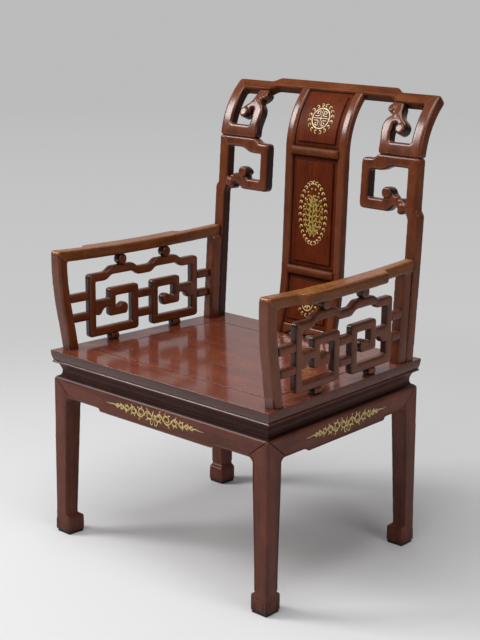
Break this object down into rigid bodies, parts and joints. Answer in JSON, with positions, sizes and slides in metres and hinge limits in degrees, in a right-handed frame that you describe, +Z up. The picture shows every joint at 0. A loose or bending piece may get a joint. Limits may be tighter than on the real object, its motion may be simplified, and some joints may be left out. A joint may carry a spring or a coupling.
{
  "type": "low-back armchair",
  "caption": "Hardwood armchair with a stepped crest rail, a tall curved splat, scrolled open squares and a side lattice under each arm rail.",
  "frame": {"origin": "on the floor under the middle of the whole chair", "axes": "+Z up, -Y out of the front of the chair, +X to the right of someone facing the chair"},
  "size_m": [0.6692, 0.5972, 0.9975],
  "materials": {
    "dark_wood": "polished",
    "seat_wood": "polished",
    "arm_wood": "polished",
    "gold_inlay": "satin",
    "black_pad": "matte"
  },
  "bodies": {
    "root": {"apron_front": "dark_wood", "apron_inlays": "gold_inlay", "apron_left": "dark_wood", "apron_rear": "dark_wood", "apron_right": "dark_wood", "arm_post_left": "dark_wood", "arm_post_right": "dark_wood", "arm_rail_left": "arm_wood", "arm_rail_right": "arm_wood", "arm_stile_left": "dark_wood", "arm_stile_right": "dark_wood", "back_post_lower_left": "dark_wood", "back_post_lower_right": "dark_wood", "back_post_upper_left": "dark_wood", "back_post_upper_right": "dark_wood", "crest_rail": "dark_wood", "foot_pads": "black_pad", "lattice_drums_left": "dark_wood", "lattice_drums_right": "dark_wood", "lattice_sills_left": "dark_wood", "lattice_sills_right": "dark_wood", "lattice_ties_left": "dark_wood", "lattice_ties_right": "dark_wood", "lattice_top_left": "dark_wood", "lattice_top_right": "dark_wood", "lattice_uprights_left": "dark_wood", "lattice_uprights_right": "dark_wood", "leg_front_left": "dark_wood", "leg_front_right": "dark_wood", "leg_rear_left": "dark_wood", "leg_rear_right": "dark_wood", "lower_square_left": "dark_wood", "lower_square_right": "dark_wood", "seat_battens": "dark_wood", "seat_frame_front": "seat_wood", "seat_frame_left": "seat_wood", "seat_frame_rear": "seat_wood", "seat_frame_right": "seat_wood", "seat_panel": "seat_wood", "spiral_front_left": "dark_wood", "spiral_front_right": "dark_wood", "spiral_rear_left": "dark_wood", "spiral_rear_right": "dark_wood", "splat_foot_apron": "dark_wood", "splat_inlays": "gold_inlay", "splat_panel_low": "dark_wood", "splat_panel_middle": "dark_wood", "splat_panel_top": "dark_wood", "splat_rail_low": "dark_wood", "splat_rail_middle": "dark_wood", "splat_stile_left": "dark_wood", "splat_stile_right": "dark_wood", "upper_square_left": "dark_wood", "upper_square_right": "dark_wood", "waist_front": "dark_wood", "waist_left": "dark_wood", "waist_rear": "dark_wood", "waist_right": "dark_wood"}
  },
  "joints": []
}
